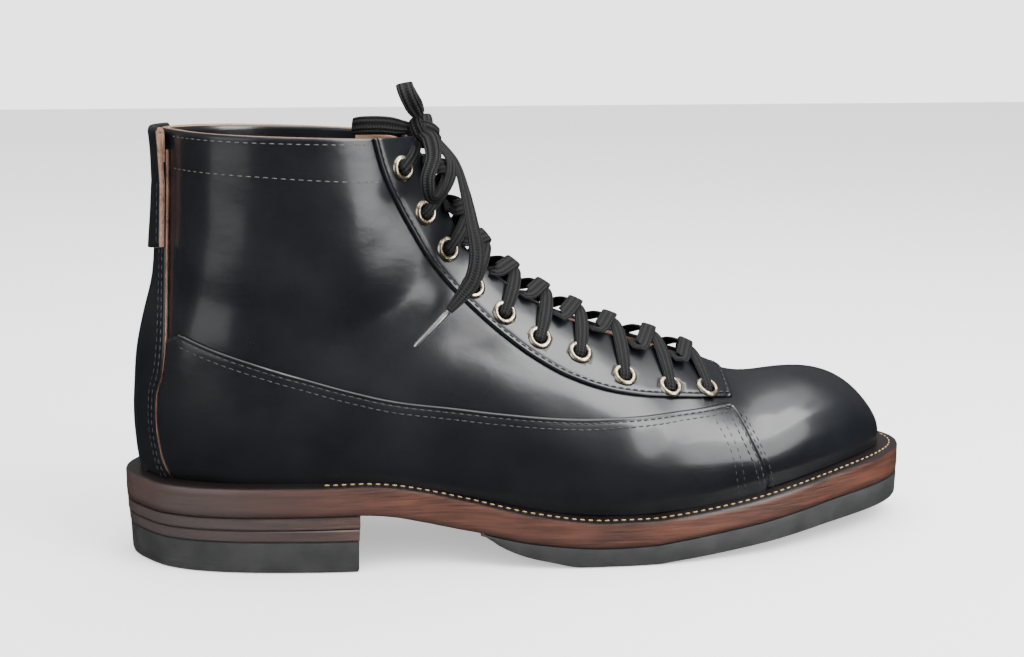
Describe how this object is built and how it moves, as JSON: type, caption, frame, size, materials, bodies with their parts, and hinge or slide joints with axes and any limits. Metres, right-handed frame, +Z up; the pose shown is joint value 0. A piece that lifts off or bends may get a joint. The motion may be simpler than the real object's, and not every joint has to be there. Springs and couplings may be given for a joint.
{
  "type": "monkey boot",
  "caption": "Right ankle boot laced down to the toe, with low side panels, a back strap with a pull loop and a stitched leather and rubber sole.",
  "frame": {"origin": "middle of the heel's flat face, on the floor", "axes": "+X toward the toe, +Y toward the inner side of the foot, +Z up"},
  "size_m": [0.3125, 0.1002, 0.1776],
  "materials": {
    "black_leather": "glossy, waxed",
    "tan_raw_edge": "matte raw cut edge",
    "sole_leather": "burnished",
    "stack_leather": "burnished, layered",
    "black_rubber": "matte",
    "aged_brass": "aged, satin",
    "black_cotton": "waxed, ribbed",
    "tan_insole": "matte",
    "aglet_metal": "satin"
  },
  "bodies": {
    "root": {"upper": "black_leather", "side_panel_outer": "black_leather", "side_panel_inner": "black_leather", "eyestay": "black_leather", "back_stay": "black_leather", "tongue": "black_leather", "pull_loop": "tan_raw_edge", "welt": "sole_leather", "midsole": "sole_leather", "half_sole": "black_rubber", "heel_lift_1": "stack_leather", "heel_lift_2": "stack_leather", "heel_top_lift": "black_rubber", "insole": "tan_insole", "eyelet_outer_01": "aged_brass", "eyelet_outer_02": "aged_brass", "eyelet_outer_03": "aged_brass", "eyelet_outer_04": "aged_brass", "eyelet_outer_05": "aged_brass", "eyelet_outer_06": "aged_brass", "eyelet_outer_07": "aged_brass", "eyelet_outer_08": "aged_brass", "eyelet_outer_09": "aged_brass", "eyelet_outer_10": "aged_brass", "eyelet_inner_01": "aged_brass", "eyelet_inner_02": "aged_brass", "eyelet_inner_03": "aged_brass", "eyelet_inner_04": "aged_brass", "eyelet_inner_05": "aged_brass", "eyelet_inner_06": "aged_brass", "eyelet_inner_07": "aged_brass", "eyelet_inner_08": "aged_brass", "eyelet_inner_09": "aged_brass", "eyelet_inner_10": "aged_brass", "lace_crossings": "black_cotton", "lace_knot": "black_cotton", "lace_loop_up": "black_cotton", "lace_loop_back": "black_cotton", "lace_loop_front": "black_cotton", "lace_end": "black_cotton", "aglet": "aglet_metal"}
  },
  "joints": []
}
